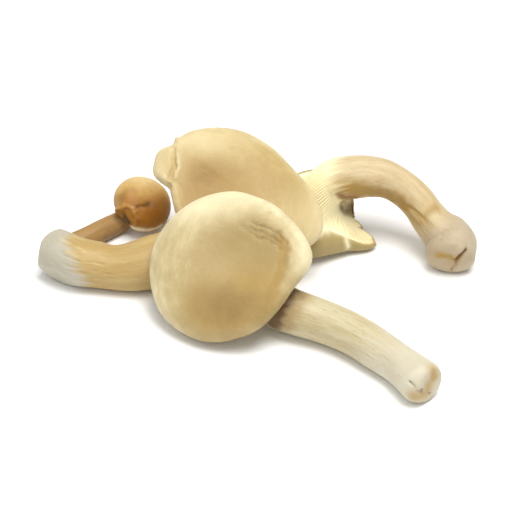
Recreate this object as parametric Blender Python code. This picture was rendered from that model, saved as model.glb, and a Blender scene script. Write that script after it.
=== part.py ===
"""A cluster of four fresh abalone mushrooms, lying together on a table.

Each mushroom grew in one piece, so each is one closed loft: it starts at the cut end of the stem,
follows the stem up, flares out under the cap as gills, rolls round the lip and closes over the crown.
Lengths below are in millimetres, with +X to the right, +Y away from the viewer and +Z up.
"""

import math

import bmesh
import bpy
from mathutils import Vector, noise

MM = 0.001
COLLECTION = "abalone_mushroom_cluster"

# Moves the whole cluster so that the middle of its underside is at the origin.
CLUSTER_SHIFT = (-1.195, 12.311)

# How finely each mushroom is lofted
STEM_SIDES = 24
CROWN_SIDES = 48
CROWN_RINGS = 9
LIP_STEPS = 3
RING_SPACING = 7.0
BASE_ARC = (18.0, 45.0, 72.0)
GILL_RINGS = (0.0, 0.1, 0.22, 0.36, 0.5, 0.64, 0.77, 0.88, 1.0)
TURN_STEPS = 8

# The rolled edge, in degrees round its roll: how far past its lowest place, and the most it turns.
LIP_TURN = 60.0
LIP_MOST = 150.0

# The crown: how square its section is, with 2 for an ellipse.
CROWN_ROUNDNESS = 2.6

# The gills: how steep a fold may be, how its depth tapers to its two ends, how evenly the gills spread
# as seen from the stem, how strongly the flesh turns back beside the stem, the length of a gill at full
# depth, how far round in degrees the underside is evened out, and how far up the stem line goes on.
GILL_STEEPNESS = 0.7
GILL_TAPER = 0.6
GILL_SPREAD = 0.7
HOLLOW_PULL = 0.9
FULL_GILL_SPAN = 18.0
EVENING_SPREAD = 10.0
STEM_REACH = 12.0
LEAST_SLOPE = 0.1

# The soft unevenness of the flesh: its size, and where in the noise each direction starts.
LUMP_SIZE = 22.0
LUMP_STARTS = (Vector((0.0, 0.0, 0.0)), Vector((17.3, 5.1, 2.7)), Vector((3.9, 23.7, 11.3)))

# One row for each mushroom.
# stem: x, y, z and radius of points up the middle of the stem, from its cut end to where the gills start.
# base_bulge: how far the cut end rounds out, as a share of its radius.
# trims: a point on each knife cut of the stem's end, and the way that the cut faces.
# cap_centre and cap_normal: the middle of the cap's edge, and the way its crown faces.
# rim: radius, height and roll of the cap's edge, at even steps round it from its right-hand side.
# crown: how high the crown stands over the edge.
# lobes: the turn, the half width as a turn, the reach and the lift of each lobe of the edge.
# dimples: how far right and back of the middle, the width and the depth of each hollow in the crown.
# flare: how long the underside keeps the stem's direction, and then the edge's, as shares of its length.
FRONT = {
    "name": "front_mushroom",
    "stem": (
        (77.8, -82.6, 9.8, 10.8),
        (68.5, -70.1, 9.3, 9.8),
        (59.2, -60.2, 9.2, 9.6),
        (50.2, -51.5, 9.8, 10.0),
        (41.0, -44.4, 10.2, 10.5),
        (31.7, -39.3, 10.6, 10.8),
        (22.0, -35.2, 11.5, 11.2),
        (12.0, -31.0, 13.5, 11.5),
        (3.0, -25.0, 17.5, 12.0),
    ),
    "base_bulge": 0.75,
    "trims": (((80.0, -87.6, 9.0), (0.7, -0.71, 0.05)),),
    "cap_centre": (-12.0, -22.0, 31.0),
    "cap_normal": (-0.34, -0.59, 0.733),
    "rim": (
        (41.3, 0.0, 3.2), (39.0, 0.5, 3.4), (36.6, 0.8, 3.6), (35.9, 0.3, 3.6),
        (37.4, 0.2, 3.4), (38.3, 0.2, 3.0), (40.2, 0.2, 2.9), (42.0, 0.0, 3.2),
        (42.2, 0.3, 3.6), (42.0, 0.0, 3.6), (41.0, -0.2, 3.4), (39.0, 0.0, 3.2),
        (36.5, 0.3, 2.8), (35.5, 0.6, 2.4), (34.1, 0.8, 2.2), (35.0, 0.4, 2.6),
    ),
    "crown": 11.0,
    "lobes": (),
    "dimples": ((8.0, 2.0, 20.0, 6.0),),
    "flare": (0.5, 0.6),
    "gills": 48,
    "gill_depth": 3.0,
    "lump": 0.8,
    "colour": (0.72, 0.55, 0.29),
}

BACK = {
    "name": "back_mushroom",
    "stem": (
        (-102.5, 14.6, 11.6, 11.6),
        (-96.5, 9.7, 11.6, 12.3),
        (-89.0, 5.6, 11.6, 12.1),
        (-80.0, 4.2, 11.0, 11.6),
        (-72.0, 2.8, 10.8, 11.2),
        (-64.0, 2.3, 11.6, 12.0),
        (-55.5, 3.5, 12.6, 13.2),
        (-46.0, 5.3, 14.3, 13.5),
        (-36.0, 8.5, 16.6, 12.8),
        (-26.5, 12.2, 20.0, 12.0),
        (-18.5, 16.0, 25.5, 11.5),
    ),
    "base_bulge": 0.35,
    "trims": (((-108.4, 14.0, 12.0), (-0.97, 0.2, 0.1)), ((-95.6, -3.3, 9.2), (-0.49, -0.8, -0.35))),
    "cap_centre": (-6.5, 22.1, 38.8),
    "cap_normal": (0.15, -0.45, 0.88),
    "rim": (
        (38.5, 0.0, 2.8), (33.2, 0.6, 2.8), (31.0, 1.0, 3.0), (33.4, 0.5, 3.0),
        (38.2, -0.3, 3.2), (42.3, -0.8, 3.4), (45.6, -0.6, 3.6), (40.6, 0.0, 3.4),
        (36.6, -0.6, 2.6), (34.8, -1.4, 2.2), (29.6, -0.8, 2.2), (26.0, 0.0, 2.2),
        (24.0, 0.0, 2.2), (27.0, 0.0, 2.4), (38.0, -0.6, 2.8), (43.1, -0.6, 2.8),
    ),
    "crown": 10.0,
    "lobes": ((0.437, 0.034, 8.0, -4.0),),
    "dimples": ((-16.0, -4.0, 20.0, 5.0),),
    "flare": (0.5, 0.6),
    "gills": 48,
    "gill_depth": 3.0,
    "lump": 1.0,
    "colour": (0.70, 0.52, 0.26),
}

RIGHT = {
    "name": "right_mushroom",
    "stem": (
        (98.9, 12.8, 9.9, 12.1),
        (99.3, 22.0, 12.9, 13.1),
        (93.4, 26.4, 16.6, 10.4),
        (87.6, 31.4, 21.8, 9.4),
        (82.0, 37.2, 27.0, 9.1),
        (74.6, 42.0, 32.0, 9.0),
        (66.2, 44.2, 35.8, 9.8),
        (56.2, 44.6, 37.0, 10.8),
        (47.0, 45.0, 35.4, 11.5),
        (39.4, 45.2, 32.0, 12.0),
    ),
    "base_bulge": 0.45,
    "trims": (),
    "cap_centre": (31.0, 38.2, 18.2),
    "cap_normal": (-0.34, 0.45, -0.825),
    "rim": (
        (24.4, 2.6, 1.4), (34.2, -0.9, 1.6), (25.6, 0.0, 5.2), (22.8, 0.0, 6.8),
        (23.8, 0.0, 7.2), (25.0, 0.0, 6.2), (26.0, 0.0, 5.4), (26.0, 0.0, 5.2),
        (26.0, 0.0, 4.6), (25.0, 0.0, 4.0), (24.0, 0.0, 3.2), (23.6, 0.0, 2.4),
        (24.8, 0.0, 2.2), (26.5, 0.0, 2.2), (26.5, 0.0, 2.2), (23.5, 0.0, 1.8),
    ),
    "crown": 9.0,
    "lobes": (),
    "dimples": ((0.0, 0.0, 16.0, 3.0),),
    "flare": (0.5, 0.6),
    "gills": 48,
    "gill_depth": 2.6,
    "lump": 0.8,
    "colour": (0.80, 0.68, 0.42),
}

SMALL = {
    "name": "small_mushroom",
    "stem": (
        (-99.0, 29.0, 4.7, 4.8),
        (-91.5, 31.2, 5.2, 5.5),
        (-84.5, 36.3, 5.4, 5.8),
        (-78.0, 42.3, 5.4, 5.8),
        (-72.0, 46.7, 5.6, 5.6),
        (-65.4, 50.4, 8.4, 5.4),
    ),
    "base_bulge": 0.5,
    "trims": (((-100.5, 28.4, 5.0), (-0.9, -0.4, 0.1)),),
    "cap_centre": (-60.2, 52.6, 12.4),
    "cap_normal": (0.38, -0.38, 0.845),
    "rim": (
        (15.8, 0.0, 2.0), (15.8, 0.0, 2.0), (15.6, 0.0, 2.0), (15.6, 0.0, 2.0),
        (15.8, 0.0, 2.0), (15.6, 0.0, 1.8), (15.0, 0.0, 1.5), (14.4, 0.0, 1.4),
        (15.0, 0.0, 1.6), (15.6, 0.0, 1.8), (15.8, 0.0, 2.0), (15.8, 0.0, 2.0),
    ),
    "crown": 11.0,
    "lobes": (),
    "dimples": ((0.0, 0.0, 7.0, 1.0),),
    "flare": (0.5, 0.5),
    "gills": 26,
    "gill_depth": 1.4,
    "lump": 0.5,
    "colour": (0.42, 0.22, 0.06),
}

MUSHROOMS = (FRONT, BACK, RIGHT, SMALL)


def smooth_row(rows, place, closed=False):
    """Read a row of numbers at place, from 0 to 1, on a smooth curve through the rows."""
    count = len(rows)
    spans = count if closed else count - 1
    along = place * spans
    index = min(int(along), spans - 1)
    f = along - index
    near = [index + step for step in (-1, 0, 1, 2)]
    near = [i % count if closed else max(0, min(count - 1, i)) for i in near]
    values = []
    for a, b, c, d in zip(*(rows[i] for i in near)):
        bend = (2 * a - 5 * b + 4 * c - d) * f * f + (3 * b - a - 3 * c + d) * f * f * f
        values.append(b + 0.5 * ((c - a) * f + bend))
    return values


def stem_frames(row, axes):
    """Give each stem ring its middle, radius, direction and two sideways axes, from the base up."""
    right, back, up = axes
    rows = row["stem"]
    length = sum((Vector(b[:3]) - Vector(a[:3])).length for a, b in zip(rows, rows[1:]))
    steps = max(4, round(length / RING_SPACING))
    points = [smooth_row(rows, i / steps) for i in range(steps + 1)]
    middles = [Vector(p[:3]) for p in points]
    frames = []
    side = up.rotation_difference(middles[-1] - middles[-2]) @ right
    for i in reversed(range(steps + 1)):
        ahead = middles[min(i + 1, steps)]
        behind = middles[max(i - 1, 0)]
        direction = (ahead - behind).normalized()
        side = (side - side.dot(direction) * direction).normalized()
        frames.append((middles[i], points[i][3], direction, side, direction.cross(side)))
    return frames[::-1]


def circle(middle, radius, side, other, count, first):
    """A ring of points round the middle, from the first angle on."""
    angles = [first + math.tau * i / count for i in range(count)]
    return [middle + radius * (math.cos(a) * side + math.sin(a) * other) for a in angles]


def stem_rings(row, frames, first):
    """The rounded cut end, then the rings of the stem up to the start of the gills."""
    middle, radius, direction, side, other = frames[0]
    reach = radius * row["base_bulge"]
    rings = [[middle - reach * direction]]
    for degrees in BASE_ARC:
        angle = math.radians(degrees)
        centre = middle - reach * math.cos(angle) * direction
        rings.append(circle(centre, radius * math.sin(angle), side, other, STEM_SIDES, first))
    for middle, radius, direction, side, other in frames[:-1]:
        rings.append(circle(middle, radius, side, other, STEM_SIDES, first))
    return rings


def cap_axes(row):
    """The cap's own axes: to its right, to its back, and out of its crown."""
    up = Vector(row["cap_normal"]).normalized()
    right = Vector((1, 0, 0))
    right = (right - right.dot(up) * up).normalized()
    return right, up.cross(right), up


def rim_at(row, turn):
    """The radius, the height and the roll of the cap's edge at a turn round it."""
    radius, rise, roll = smooth_row(row["rim"], turn % 1.0, closed=True)
    for place, width, reach, lift in row["lobes"]:
        apart = (turn - place + 0.5) % 1.0 - 0.5
        share = math.exp(-((apart / width) ** 4))
        radius += reach * share
        rise += lift * share
    return radius, rise, roll


def rim_turns(row, axes, frames, count):
    """Turns round the cap that spread mostly evenly as seen from where the stem meets it."""
    right, back, up = axes
    middle, radius, direction = frames[-1][:3]
    centre = Vector(row["cap_centre"])
    under = (centre - middle).dot(up)
    reach = min(STEM_REACH, under / max(direction.dot(up), LEAST_SLOPE))
    foot = middle + reach * direction - centre
    fine = TURN_STEPS * count
    seen = []
    for i in range(fine + 1):
        angle = math.tau * i / fine
        edge = rim_at(row, i / fine)[0]
        across = edge * math.cos(angle) - foot.dot(right)
        away = edge * math.sin(angle) - foot.dot(back)
        turned = (math.atan2(away, across) - angle + math.pi) % math.tau - math.pi
        seen.append(angle + GILL_SPREAD * turned)
    turns = []
    step = 0
    for i in range(count):
        wanted = seen[0] + math.tau * i / count
        while seen[step + 1] < wanted:
            step += 1
        part = (wanted - seen[step]) / (seen[step + 1] - seen[step])
        turns.append((step + part) / fine)
    return turns, seen[0]


def cap_point(row, axes, turn, share, height):
    """A point at a turn round the cap, a share of the way to its edge, and a height over its rim."""
    right, back, up = axes
    radius, rise = rim_at(row, turn)[:2]
    angle = math.tau * turn
    out = radius * share
    place = Vector(row["cap_centre"])
    place = place + out * (math.cos(angle) * right + math.sin(angle) * back)
    return place + (height + rise * share * share) * up


def lip_point(row, axes, turn, degrees):
    """A point on the rolled edge; 0 degrees is the widest place and 90 the lowest."""
    angle = math.radians(degrees)
    radius, rise, roll = rim_at(row, turn)
    share = 1 - roll * (1 - math.cos(angle)) / radius
    return cap_point(row, axes, turn, share, -roll * math.sin(angle))


def lip_ends(row, axes, start, turns):
    """How far the edge rolls under at each turn: less where the stem comes up close to it."""
    right, back, up = axes
    ends = []
    for turn, foot in zip(turns, start):
        drop = lip_point(row, axes, turn, 90.0) - foot
        below = max(drop.dot(up), 0.0)
        beside = (drop - drop.dot(up) * up).length
        ends.append(min(LIP_MOST, 90.0 + LIP_TURN - math.degrees(math.atan2(below, beside))))
    return ends


def underside_rings(row, axes, frames, turns, first):
    """The underside, from the stem out to the rolled edge, folded into gills, and then the edge."""
    middle, radius, direction, side, other = frames[-1]
    start = circle(middle, radius, side, other, len(turns), first)
    ends = lip_ends(row, axes, start, turns)
    lip_rings = []
    for step in range(LIP_STEPS, -1, -1):
        roll = step / LIP_STEPS
        lip_rings.append([lip_point(row, axes, turn, end * roll) for turn, end in zip(turns, ends)])
    pull_stem, pull_lip = row["flare"]
    rings = []
    for t in GILL_RINGS:
        ring = []
        for s, e, b in zip(start, lip_rings[0], lip_rings[1]):
            span = (e - s).length
            turning = max(0.0, -(e - s).normalized().dot(direction))
            leave = direction * span * (pull_stem + HOLLOW_PULL * turning)
            arrive = (b - e).normalized() * span * pull_lip
            ring.append(
                s * (2 * t**3 - 3 * t**2 + 1)
                + leave * (t**3 - 2 * t**2 + t)
                + e * (3 * t**2 - 2 * t**3)
                + arrive * (t**3 - t**2)
            )
        rings.append(ring)
    rings = [evened(ring, EVENING_SPREAD * (1 - t)) for ring, t in zip(rings, GILL_RINGS)]
    rings[0] = start
    depths = []
    for s, e in zip(start, lip_rings[0]):
        turning = max(0.0, -(e - s).normalized().dot(direction))
        depths.append(row["gill_depth"] * min(1.0, (e - s).length / FULL_GILL_SPAN) * (1 - turning) ** 2)
    folded = [fold_ring(rings, i, depths) for i in range(len(rings))]
    return folded + lip_rings[1:-1]


def evened(ring, spread):
    """Smooth a ring round itself, over a spread in degrees."""
    for _ in range(round(2 * (spread * len(ring) / 360) ** 2)):
        ring = [0.5 * p + 0.25 * (ring[i - 1] + ring[(i + 1) % len(ring)]) for i, p in enumerate(ring)]
    return ring


def fold_ring(rings, index, depths):
    """Push every second point of a ring out, as the edge of a gill."""
    ring = rings[index]
    count = len(ring)
    t = GILL_RINGS[index]
    if index in (0, len(rings) - 1):
        return list(ring)
    taper = math.sin(math.pi * t) ** GILL_TAPER
    folded = []
    for i, point in enumerate(ring):
        across = ring[(i + 1) % count] - ring[i - 1]
        along = rings[index + 1][i] - rings[index - 1][i]
        out = across.cross(along).normalized()
        room = min(across.length, along.length)
        fold = min(depths[i] * taper, GILL_STEEPNESS * room)
        push = 0.5 * fold if i % 2 == 0 else -0.5 * fold
        folded.append(point + push * out)
    return folded


def crown_rings(row, axes, turns):
    """The crown, from the rolled edge up to the middle, which closes in one point."""
    rings = []
    power = 2 / CROWN_ROUNDNESS
    for ring in range(1, CROWN_RINGS):
        angle = math.pi / 2 * (1 - ring / CROWN_RINGS)
        share = math.sin(angle) ** power
        height = row["crown"] * math.cos(angle) ** power
        rings.append(crown_ring(row, axes, share, height, turns))
    rings.append(crown_ring(row, axes, 0.0, row["crown"], turns[:1]))
    return rings


def crown_ring(row, axes, share, height, turns):
    """One ring of the crown, lowered where a dimple is."""
    right, back, up = axes
    centre = Vector(row["cap_centre"])
    points = []
    for turn in turns:
        point = cap_point(row, axes, turn, share, height)
        for across, away, width, depth in row["dimples"]:
            offset = point - centre
            apart = math.hypot(offset.dot(right) - across, offset.dot(back) - away)
            point = point - depth * math.exp(-((apart / width) ** 2)) * up
        points.append(point)
    return points


def lumpy(point, amount):
    """Shift a point by the soft unevenness of the flesh."""
    return point + amount * Vector([noise.noise(point / LUMP_SIZE + start) for start in LUMP_STARTS])


def trimmed(point, trims):
    """Bring a point that is beyond a knife cut back onto it."""
    for place, facing in trims:
        normal = Vector(facing).normalized()
        point = point - max(0.0, (point - Vector(place)).dot(normal)) * normal
    return point


def stitch(mesh, lower, upper):
    """Join two closed rings of vertices, which may differ in number, with triangles."""
    i = j = 0
    while i < len(lower) or j < len(upper):
        next_lower = (i + 1) / len(lower) if len(lower) > 1 else 2.0
        next_upper = (j + 1) / len(upper) if len(upper) > 1 else 2.0
        a = lower[i % len(lower)]
        b = upper[j % len(upper)]
        if next_lower <= next_upper:
            mesh.faces.new((a, lower[(i + 1) % len(lower)], b))
            i += 1
        else:
            mesh.faces.new((a, upper[(j + 1) % len(upper)], b))
            j += 1
        if len(lower) == 1 and j == len(upper):
            break
        if len(upper) == 1 and i == len(lower):
            break


def make_mushroom(row, collection):
    """Loft one mushroom, rest it on the table and add it to the collection."""
    axes = cap_axes(row)
    frames = stem_frames(row, axes)
    gill_turns, first = rim_turns(row, axes, frames, 2 * row["gills"])
    crown_turns = rim_turns(row, axes, frames, CROWN_SIDES)[0]
    rings = stem_rings(row, frames, first)
    rings += underside_rings(row, axes, frames, gill_turns, first)
    rings.append([lip_point(row, axes, turn, 0.0) for turn in crown_turns])
    rings += crown_rings(row, axes, crown_turns)

    shift = Vector((*CLUSTER_SHIFT, 0.0))
    mesh = bmesh.new()
    loops = []
    for ring in rings:
        points = [trimmed(lumpy(point, row["lump"]), row["trims"]) + shift for point in ring]
        loops.append([mesh.verts.new((p.x * MM, p.y * MM, max(p.z, 0.0) * MM)) for p in points])
    for lower, upper in zip(loops, loops[1:]):
        stitch(mesh, lower, upper)
    bmesh.ops.recalc_face_normals(mesh, faces=mesh.faces)

    data = bpy.data.meshes.new(row["name"])
    mesh.to_mesh(data)
    mesh.free()
    data.shade_smooth()
    data.materials.append(make_material(row))
    piece = bpy.data.objects.new(row["name"], data)
    collection.objects.link(piece)
    return piece


def make_material(row):
    """A soft matt skin in the mushroom's own colour."""
    material = bpy.data.materials.new(row["name"] + "_flesh")
    material.use_nodes = True
    shader = material.node_tree.nodes["Principled BSDF"]
    shader.inputs["Base Color"].default_value = (*row["colour"], 1.0)
    shader.inputs["Roughness"].default_value = 0.6
    shader.inputs["Metallic"].default_value = 0.0
    return material


def main():
    for old in list(bpy.data.objects):
        bpy.data.objects.remove(old)
    collection = bpy.data.collections.new(COLLECTION)
    bpy.context.scene.collection.children.link(collection)
    for row in MUSHROOMS:
        make_mushroom(row, collection)


main()
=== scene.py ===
"""A cluster of four fresh abalone mushrooms, lying together on a pale table in soft light.

Each mushroom is one closed loft along the same lines as the part's own solid, drawn much finer. Its gills,
stem fibres, wrinkles and felt are raised from that loft by Geometry Nodes, and its colours come from masks
that are kept on the mesh. Lengths in the rows are in millimetres, with +Z up and +Y away from the viewer.
"""

import math

import bpy
import numpy as np
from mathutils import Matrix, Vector, noise


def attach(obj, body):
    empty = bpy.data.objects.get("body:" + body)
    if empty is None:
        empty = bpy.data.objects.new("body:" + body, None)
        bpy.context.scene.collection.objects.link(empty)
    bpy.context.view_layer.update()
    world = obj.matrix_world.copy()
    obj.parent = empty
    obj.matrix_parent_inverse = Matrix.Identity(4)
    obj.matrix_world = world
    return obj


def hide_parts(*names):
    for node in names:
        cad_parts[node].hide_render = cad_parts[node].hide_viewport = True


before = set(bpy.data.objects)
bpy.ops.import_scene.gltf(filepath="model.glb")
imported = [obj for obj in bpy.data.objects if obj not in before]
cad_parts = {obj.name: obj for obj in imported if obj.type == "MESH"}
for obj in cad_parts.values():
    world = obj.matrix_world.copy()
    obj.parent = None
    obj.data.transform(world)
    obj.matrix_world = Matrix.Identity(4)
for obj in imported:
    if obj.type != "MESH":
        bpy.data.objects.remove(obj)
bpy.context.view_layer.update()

MM = 0.001

# Moves the whole cluster so that the middle of its underside is at the origin.
CLUSTER_SHIFT = (-1.195, 12.311)

# How finely each mushroom is lofted
STEM_SIDES = 240
STEM_SPACING = 1.2
BASE_RINGS = 12
BASE_TURNS = 192
GILL_STEPS = 32
LIP_STEPS = 9
CROWN_SIDES = 480
CROWN_RINGS = 52
TURN_STEPS = 8

# The rolled edge, in degrees round its roll: its lowest place, how far it turns past that, and the most it
# turns in all.
LIP_LOWEST = 90.0
LIP_TURN = 60.0
LIP_MOST = 150.0

# The crown: how square its section is, with 2 for an ellipse, and where a hollow in it starts to fade out
# towards the edge, as a share of the way to it.
CROWN_ROUNDNESS = 2.6
HOLLOW_FADE = 0.85

# The underside, as in the part's source
GILL_TAPER = 0.6
GILL_SPREAD = 0.7
HOLLOW_PULL = 0.9
EVENING_SPREAD = 10.0
STEM_REACH = 12.0
LEAST_SLOPE = 0.1
FRAME_SPACING = 7.0

# Finer gills: how high their ribs on the stem are, as a share of their own height, how far along the
# underside they are fully grown, and where the points across one gill and the short gill beside it lie, as
# shares of the gills' spacing.
NECK_RIBS = 0.2
GILL_START = 0.3
GILL_SECTION = (0.0, 0.05, 0.12, 0.24, 0.38, 0.45, 0.5, 0.55, 0.62, 0.76, 0.88, 0.95)

# How unevenly the gills are spaced, and where in the noise that is read.
GILL_WOBBLE = 0.28
WOBBLE_STEP = 7.31
WOBBLE_START = (3.3, 1.7)

# How far the gills sway, as a share of their spacing, in how many waves round the cap, and how far those
# waves turn on the way to the edge.
SWAY = 0.35
SWAY_WAVES = 3
SWAY_TURN = 0.7

# The cap's torn edge: teeth to a turn, how far one reaches for its size, and where in the noise they are.
TEETH = 60.0
TEETH_REACH = 2.2
TEETH_START = (0.7, 5.1)

# Uneven borders: where they start in the noise, and the size of the circle and the strength of each part.
FRINGE_START = 4.2
FRINGE_PARTS = ((1.6, 1.0), (7.0, 0.8))

# How far each border wanders: the stem's end, as a share of its fade, the pale base, and the cap's skin, as
# a share of the rolled edge, over which it also fades in.
NECK_WANDER = 0.5
FELT_WANDER = 5.0
SKIN_WANDER = 0.12
SKIN_FADE = 0.45

# The way that a stem's lower front side faces. The pale base reaches further there.
LOW_FRONT = np.array((0.0, -0.62, -0.79))

# Where the streaks start, as a distance up the stem, and the colour of the cap's rim, as a share of the way
# to the edge.
BARE_RANGE = (-3.0, 2.0)
RIM_START = 0.78

# The flesh's grain: how fast it changes along a stem, as a share of how fast it does round it, the size of
# the circle that a cap's streaks are read on, and how far from their middle they start.
FIBRE_STRETCH = 0.12
WHORL_SIZE = 16.0
WHORL_CALM = 6.0

# How far beyond the stem's end the cap's edge counts as being, for the stem's colour and for the grain.
UNDER_FADE = 20.0
UNDER_GRAIN = 25.0

# The soft unevenness of the flesh: its size, and where in the noise each direction starts.
LUMP_SIZE = 22.0
LUMP_STARTS = (Vector((0.0, 0.0, 0.0)), Vector((17.3, 5.1, 2.7)), Vector((3.9, 23.7, 11.3)))

# The wandering of creases, stains and painted shade: its size, how far a crease wanders, and how far stains
# and painted shade do, as a share of their width.
WANDER_SIZE = 3.0
CREASE_WANDER = 0.9
STAIN_AND_SHADE_WANDER = 0.3

# One row for each mushroom, and what a row leaves out is in COMMON.
# stem: x, y, z and radius of points up the middle of the stem, from its cut end to where the gills start.
# base_bulge: how far the cut end rounds out, as a share of its radius.
# trims: a point on each knife cut of the stem's end, and the way that the cut faces.
# cap_centre and cap_normal: the middle of the cap's edge, and the way that its crown faces.
# rim: radius, height and roll of the cap's edge, at even steps round it from its right-hand side.
# crown: how high the crown stands over the edge.
# lobes: the turn, the half width as a turn, the reach and the lift of each lobe of the edge.
# torn: where the cap's edge is ragged, as turns: the middle, half the width, and the size of its teeth.
# peaks: the turn, half the width and the reach of each pointed corner of the cap's edge.
# dimples: how far right and back of the middle, the width and the depth of each hollow in the crown.
# flare: how long the underside keeps the stem's direction, and then the edge's, as shares of its length.
# gills: the number of long gills; a short one lies between each two.
# gill_depth: the most that the gills fold. fold: how deep they fold, as a share of their spacing.
# lump: how uneven the flesh is.
# neck: how far down the stem the gills run out as low ribs, and how far the stem's colour fades there.
# felt: how far up the stem the pale base reaches, how much further on its lower front side, and how far it
# fades. A reach of 0 is for a stem without one.
# whorl: how far right and back of the cap's middle its faint streaks turn round.
# wear_and_shade_patches: soft patches on the cap, of its own worn and tan colour and, low on the front cap,
# of
# painted shade: the mask, how far right and back, the half width and depth, the strength and how firm the
# patch's edge is, with 2 for the softest.
# carved: the width and depth of each crease, with less than nothing for a ridge, how much brown is painted
# along it, partly its own colour and partly painted shade in the crease, and the points on the skin that it
# runs through.
# stains_and_shade: the mask, the width and the strength of each mark, a few of them painted shade under a
# cap's edge and on a stem's underside, and the points that it runs through.
COMMON = {"trims": (), "lobes": (), "torn": (), "peaks": (), "flare": (0.5, 0.6), "wear_and_shade_patches": ()}

FRONT = {
    "name": "front_mushroom",
    "stem": (
        (77.8, -82.6, 9.8, 10.8), (68.5, -70.1, 9.3, 9.8), (59.2, -60.2, 9.2, 9.6), (50.2, -51.5, 9.8, 10),
        (41, -44.4, 10.2, 10.5), (31.7, -39.3, 10.6, 10.8), (22, -35.2, 11.5, 11.2), (12, -31, 13.5, 11.5),
        (3, -25, 17.5, 12),
    ),
    "base_bulge": 0.75,
    "trims": (((80, -87.6, 9), (0.7, -0.71, 0.05)),),
    "cap_centre": (-12.0, -22.0, 31.0),
    "cap_normal": (-0.34, -0.59, 0.733),
    "rim": (
        (41.3, 0, 3.2), (39, 0.5, 3.4), (36.6, 0.8, 3.6), (35.9, 0.3, 3.6), (37.4, 0.2, 3.4),
        (38.3, 0.2, 3), (40.2, 0.2, 2.9), (42, 0, 3.2), (42.2, 0.3, 3.6), (42, 0, 3.6), (41, -0.2, 3.4),
        (39, 0, 3.2), (36.5, 0.3, 2.8), (35.5, 0.6, 2.4), (34.1, 0.8, 2.2), (35, 0.4, 2.6),
    ),
    "crown": 11,
    "dimples": ((8, 2, 20, 6),),
    "gills": 64,
    "gill_depth": 3,
    "fold": 1,
    "lump": 0.8,
    "neck": (6, 5),
    "felt": (24, 2, 18),
    "whorl": (14, -2),
    "wear_and_shade_patches": (
        ("tan", 4, -1, 33, 29, 0.6, 5),
        ("tan", 12, 2, 20, 20, 0.45, 3),
        ("ochre", 18, -14, 14, 12, 0.35, 2.5),
        ("tan", -12, -16, 14, 10, 0.3, 2),
        # Painted shade: darker tan over the cap's lower side, which faces down, away from the light
        ("tan", -8, -38, 40, 13, 0.6, 2),
        ("tan", 0, -22, 28, 16, 0.7, 3),
        ("ochre", 4, -23, 23, 13, 0.4, 2.5),
        ("brown", 5, -21, 21, 13, 0.5, 2.5),
        ("cream", -16, 30, 22, 8, 0.6, 2),
        ("cream", 12, 37, 30, 8, 0.5, 2),
        ("cream", 42, 2, 7, 16, 0.4, 2),
    ),
    "carved": (
        (0.8, 0.7, 0.42, (-1.9, -14.1, 51.3), (4.4, -17.4, 51.4), (10.1, -21.5, 50.9), (14.5, -27, 48.6)),
        (0.8, 0.6, 0.4, (-2.9, -15.6, 49.4), (3.4, -18.8, 49.4), (11.5, -25.9, 48.2)),
        (0.8, 0.5, 0.36, (-0.5, -18.5, 47.3), (5.8, -22.1, 47.7), (11.5, -27.8, 46.6)),
        (0.8, 0.4, 0.3, (-7.8, -13.4, 49.6), (-2.9, -16.8, 47.9), (3, -21.5, 46.5)),
        (0.8, 0.2, 0.12, (-11.7, -14.9, 46.5), (-5.3, -18.7, 44.5), (0, -23.5, 43)),
        (1.5, -0.5, 0, (16.3, -26.7, 49.4), (17.3, -30.8, 46.5), (16.8, -34.4, 43.2)),
        (0.7, 0.9, 0.75,
         (71.8, -89.5, 15.4), (73.2, -90.4, 14.3), (74.6, -91.1, 13), (76.1, -90.7, 10.8),
         (77.7, -89.7, 8)),
        (0.6, 0.7, 0.85, (77.3, -89.8, 11.4), (77.9, -89.4, 10.8)),
        (0.8, 0.6, 0.7, (81.4, -86.4, 5.9), (82.2, -85.6, 5.2)),
        (0.8, 0.5, 0.2, (70.5, -84.5, 16), (75.5, -86, 17), (79.5, -84.5, 17)),
        (0.7, 0.5, 0.1, (60, -71, 15), (66, -77.5, 14.5), (70.5, -83.5, 14)),
        (0.7, 0.4, 0.1, (38, -53, 12), (47, -60, 11), (55, -68, 11)),
    ),
    "stains_and_shade": (
        ("tan", 4.4, 1, (10.6, -22.7, 50.6), (13.6, -29.6, 47), (12, -36, 41), (7.6, -42.7, 32.6)),
        ("tan", 5, 0.9, (9.1, -42.7, 32.6), (2.9, -48.1, 25.9)),
        ("ochre", 2.4, 0.5, (11.6, -25, 49.2), (13, -29.6, 46.6), (11.6, -36, 40.6), (6.8, -42.7, 32.4)),
        ("ochre", 5.5, 0.4, (8, -43, 32.4), (1, -47.5, 26.5)),
        ("brown", 2, 0.28, (7, -20, 50.8), (12, -24.5, 49.2), (14.8, -29.6, 46.4), (14, -34, 42.4)),
        # Partly a real stain and partly painted shadow of the cap, on the stem just under the cap's edge
        ("brown", 4.6, 1, (17, -31.5, 23), (13, -38.5, 20.5), (9.5, -41.5, 14.5), (8.5, -41.5, 9)),
        ("tan", 6, 0.8, (21.4, -34.9, 22.7), (17.4, -41.8, 19.5), (15, -44.5, 12)),
        ("ochre", 3.6, 0.85, (82.8, -84.1, 16.9), (83.5, -83.9, 12.9)),
        ("ochre", 4, 0.75, (74, -91.5, 8), (79.5, -88, 7), (81, -86.5, 11)),
        ("brown", 1.3, 0.6, (75.6, -90.9, 11.4), (77.5, -89.6, 9.5)),
    ),
}

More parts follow.
